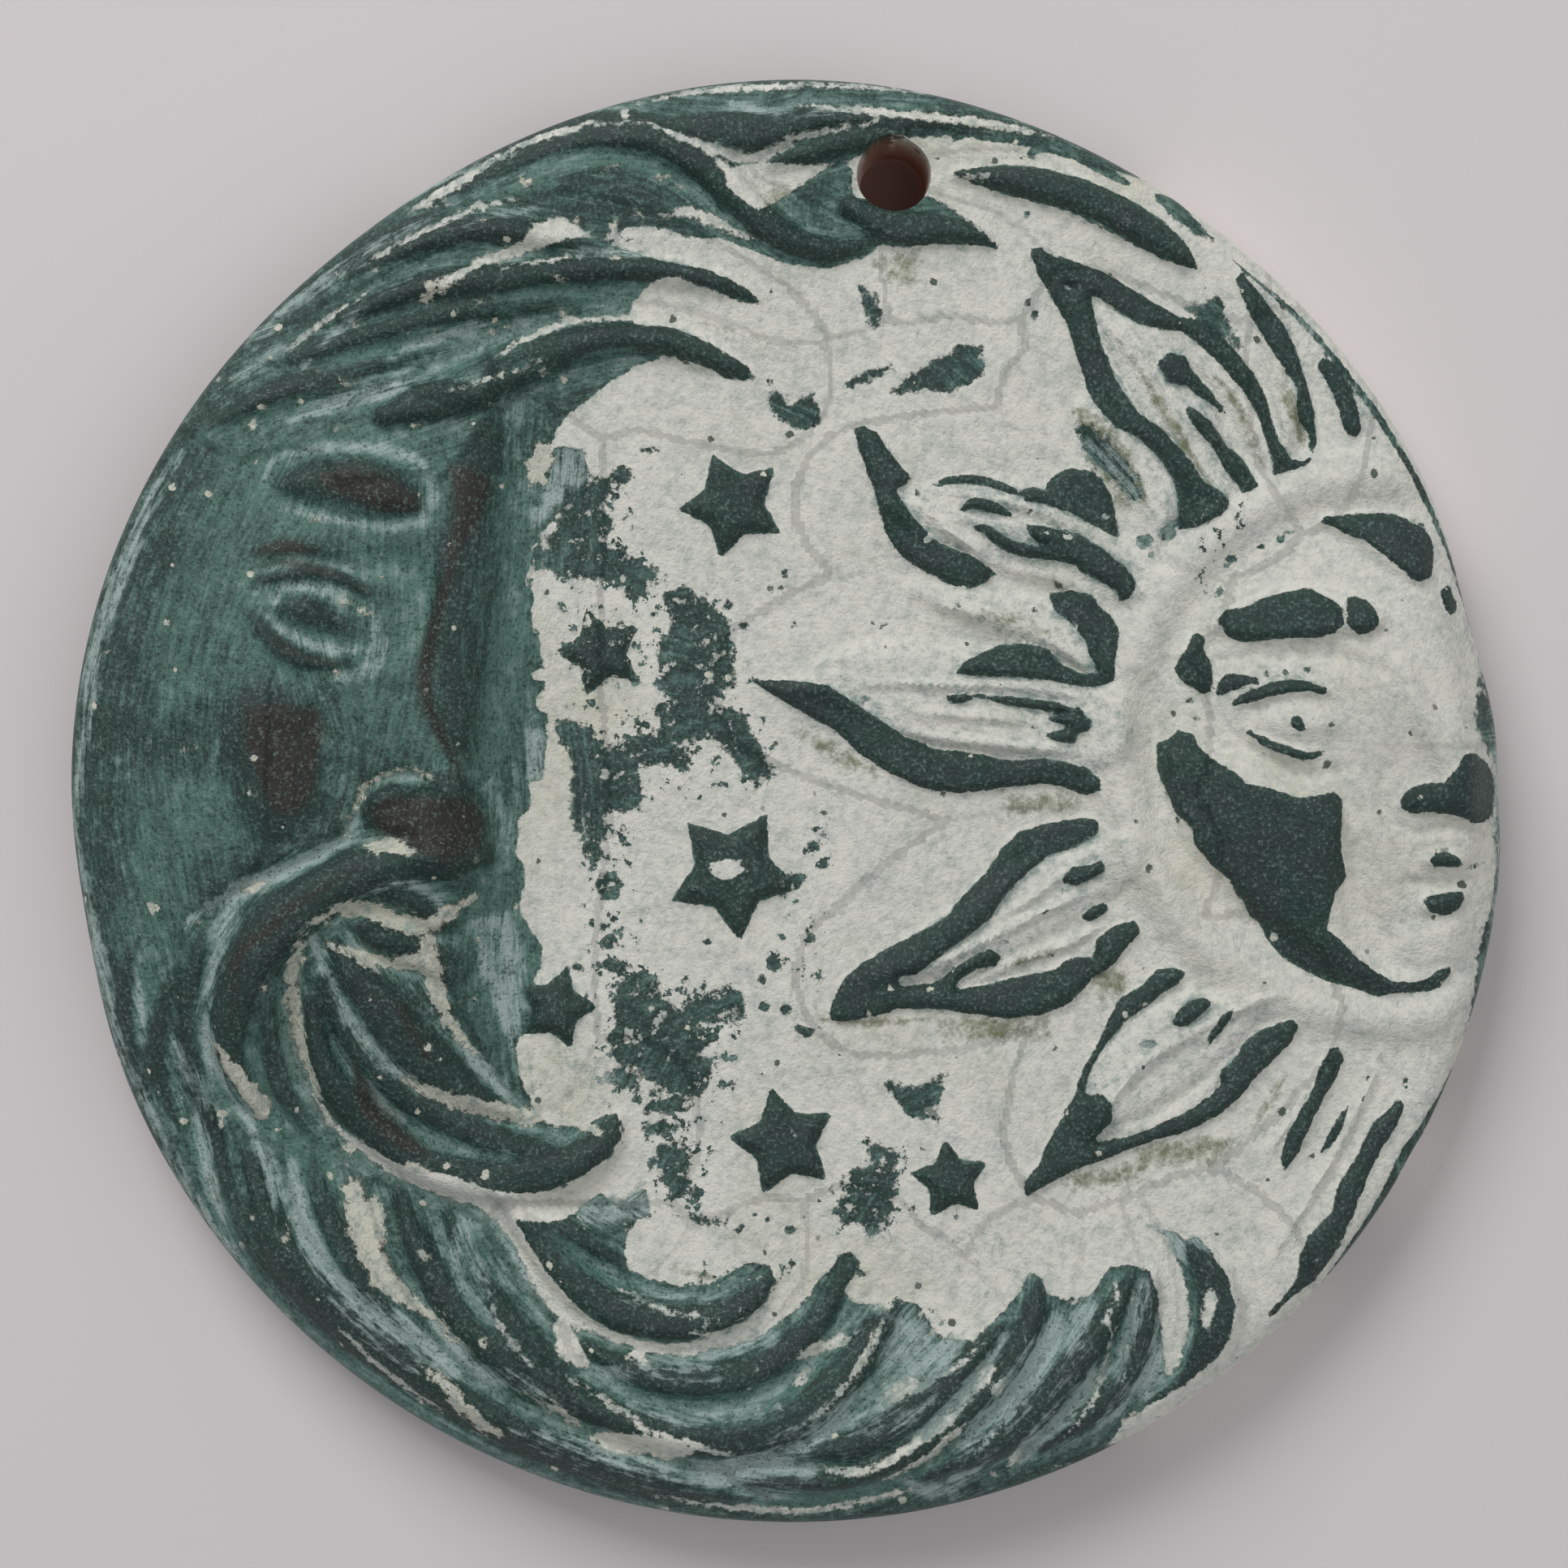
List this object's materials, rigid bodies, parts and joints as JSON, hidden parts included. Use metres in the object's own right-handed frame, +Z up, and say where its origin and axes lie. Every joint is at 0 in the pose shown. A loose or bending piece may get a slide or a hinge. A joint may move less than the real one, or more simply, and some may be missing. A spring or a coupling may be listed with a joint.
{
  "type": "wall plaque",
  "caption": "Round clay wall plaque with a bearded crescent moon, a sun and stars in low relief, pierced near its top to hang on a nail.",
  "frame": {"origin": "middle of the nail hole where it opens on the flat back", "axes": "+Z up as the plaque hangs, -Y out of the carved front, +Y into the wall, +X to the right seen from the front"},
  "size_m": [0.1786, 0.0223, 0.1796],
  "materials": {
    "painted_clay": "matt dark green paint with a chalky white wash, over unglazed brown clay"
  },
  "bodies": {
    "root": {"plaque": "painted_clay"}
  },
  "joints": []
}
